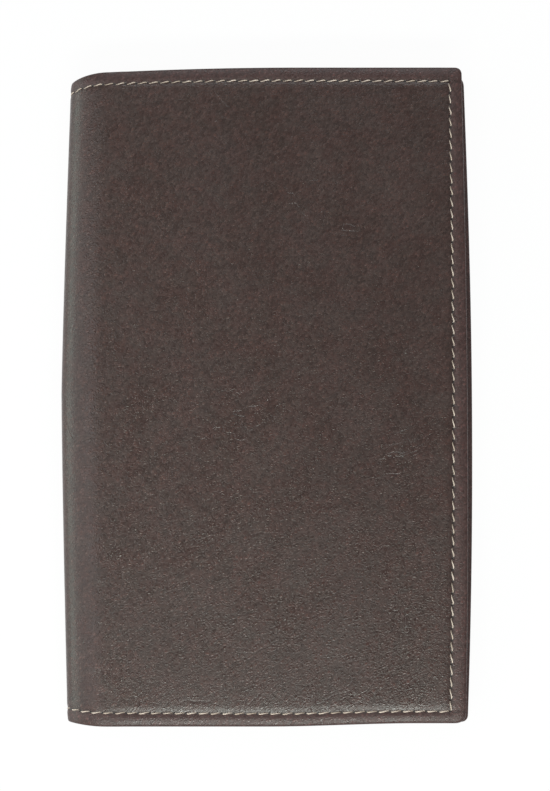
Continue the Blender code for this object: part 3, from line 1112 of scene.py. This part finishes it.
strap = pencil_loop_strap()
thick = strap.vertex_groups.new(name="thick")
for v in strap.data.vertices:
    on_flange = 0.0
    if v.co.z < loop_middle_z:
        on_flange = min(max((v.co.x - loop_right - skive_start) / skive_slope, 0.0), 1.0)
    thick.add([v.index], 1.0 - on_flange * (1 - skived_leather / loop_leather), "REPLACE")
open_up(strap)
bpy.ops.mesh.select_all(action="SELECT")
bpy.ops.mesh.normals_make_consistent(inside=False)
cut_lines(1, evenly(-loop_length / 2, loop_length / 2, 0.0019))
cut_lines(0, [flange_end - inset for inset in (*strap_seam_insets, sum(strap_seam_insets) / 2)])
top = max(bmesh.from_edit_mesh(strap.data).faces, key=lambda face: face.calc_center_median().z)
if top.normal.z < 0:
    turn_inside_out(strap)
nothing_selected()
apply_modifier(
    strap,
    "SOLIDIFY",
    thickness=loop_leather,
    offset=-1,
    use_even_offset=True,
    vertex_group="thick",
    thickness_vertex_group=0.0,
)
apply_modifier(
    strap, "BEVEL", width=0.00018, segments=2, limit_method="ANGLE", angle_limit=math.radians(50)
)
co = points_of(strap)
keep_on_points(strap, "on_hide", co + strap_on_hide)
strap_seams = [
    seam_line((flange_end - inset, strap_seam_half_length), (flange_end - inset, -strap_seam_half_length))
    for inset in strap_seam_insets
]
along = np.zeros(len(co))
across = np.full(len(co), 1.0)
for start, direction, length, count in strap_seams:
    here = np.abs(co[:, 0] - start[0])
    nearer = (here < across) & (np.abs(co[:, 1]) < length / 2 + 0.0004)
    nearer &= co[:, 2] < flange_face + 0.0002
    along = np.where(nearer, (start[1] - co[:, 1]) / length * count, along)
    across = np.where(nearer, here, across)
keep_on_points(strap, "on_seam", np.stack((along, across, np.zeros(len(co))), axis=1))
smooth_shaded(strap)
dress(strap, pocket_leather)
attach(strap, "back_cover")
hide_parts("pencil_loop")

on_strap = lambda x, y: flange_face + bobbin_bedded
loop_thread = sewn_line("pencil_loop_stitches", None, strap_seams, on_strap, True, (11, 11), 37)
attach(loop_thread, "back_cover")
bpy.data.objects.remove(stitch, do_unlink=True)

# Table, light and camera. The holder lies on a plain white table in soft light, mostly from the left and from
# above the tail, and the camera looks almost straight down from a little below the middle.

table_z = -0.0004

nothing_selected()
bpy.ops.mesh.primitive_plane_add(size=6, location=(0, 0, table_z))
table = bpy.context.object
table.name = "white_table"
white, tree, shader = new_material("white table")
shader.inputs["Base Color"].default_value = (0.86, 0.86, 0.86, 1)
shader.inputs["Roughness"].default_value = 0.9
shader.inputs["Specular IOR Level"].default_value = 0.1
light_path = node(tree, "ShaderNodeLightPath").outputs
seen = math_node(tree, "MAXIMUM", light_path["Is Camera Ray"], light_path["Is Glossy Ray"])
seen = math_node(tree, "MAXIMUM", seen, light_path["Is Transmission Ray"])
glow = node(tree, "ShaderNodeEmission", {"Color": (1, 1, 1, 1), "Strength": 1.0})
share = math_node(tree, "MULTIPLY", seen, 0.95)
both = node(tree, "ShaderNodeMixShader", {0: share, 1: shader.outputs[0], 2: glow.outputs[0]})
tree.links.new(both.outputs[0], tree.nodes["Material Output"].inputs["Surface"])
table.data.materials.append(white)

world = bpy.context.scene.world or bpy.data.worlds.new("studio")
bpy.context.scene.world = world
world.use_nodes = True
world.node_tree.nodes["Background"].inputs["Color"].default_value = (0.90, 0.96, 1.0, 1)
world.node_tree.nodes["Background"].inputs["Strength"].default_value = 0.30


def soft_lamp(name, place, aim, size, watts, colour):
    """A rectangular lamp of this size at a place, turned towards what it is aimed at."""
    lamp = bpy.data.lights.new(name, "AREA")
    lamp.shape = "RECTANGLE"
    lamp.size, lamp.size_y = size
    lamp.energy = watts
    lamp.color = colour
    holder = bpy.data.objects.new(name, lamp)
    bpy.context.scene.collection.objects.link(holder)
    holder.location = place
    holder.rotation_euler = (Vector(aim) - Vector(place)).to_track_quat("-Z", "Y").to_euler()


soft_lamp("tail_strip_light", (0.04, -0.257, 0.90), (0, -0.08, 0), (0.30, 0.05), 0.71, (0.93, 1.0, 0.90))
soft_lamp("tail_softbox", (0.02, -0.30, 0.42), (0, -0.06, 0), (0.45, 0.08), 1.8, (0.95, 1.0, 0.94))
soft_lamp("window_by_the_spine", (-0.90, 0.00, 0.17), (0, 0, 0), (1.2, 0.30), 3.6, (0.84, 1.0, 0.92))
soft_lamp("left_softbox", (-0.90, 0.00, 0.62), (0, 0, 0), (0.9, 0.6), 2.3, (0.97, 0.98, 1.0))
soft_lamp("upper_left_softbox", (-0.50, 0.00, 1.00), (0, 0, 0), (0.5, 0.4), 1.4, (0.97, 0.98, 1.0))
soft_lamp("head_softbox", (0.10, 0.80, 0.70), (0, 0.02, 0), (0.8, 0.5), 3.0, (0.90, 0.97, 1.0))
soft_lamp("low_tail_softbox", (0.00, -0.90, 0.17), (0, 0, 0), (1.2, 0.30), 1.0, (1.0, 1.0, 1.0))

picture_height = 791
focal_length = 2286
camera_distance = 0.620
tilt = math.radians(5.8)
looked_at = Vector((0.00207, -0.00027, 0.006))
camera = bpy.data.objects.new("camera", bpy.data.cameras.new("camera"))
bpy.context.scene.collection.objects.link(camera)
camera.data.sensor_width = 36
camera.data.lens = camera.data.sensor_width * focal_length / picture_height
camera.data.clip_start = 0.01
camera.location = looked_at + camera_distance * Vector((0, -math.sin(tilt), math.cos(tilt)))
camera.rotation_euler = (tilt, 0, 0)
bpy.context.scene.camera = camera
bpy.context.scene.view_settings.view_transform = "Standard"
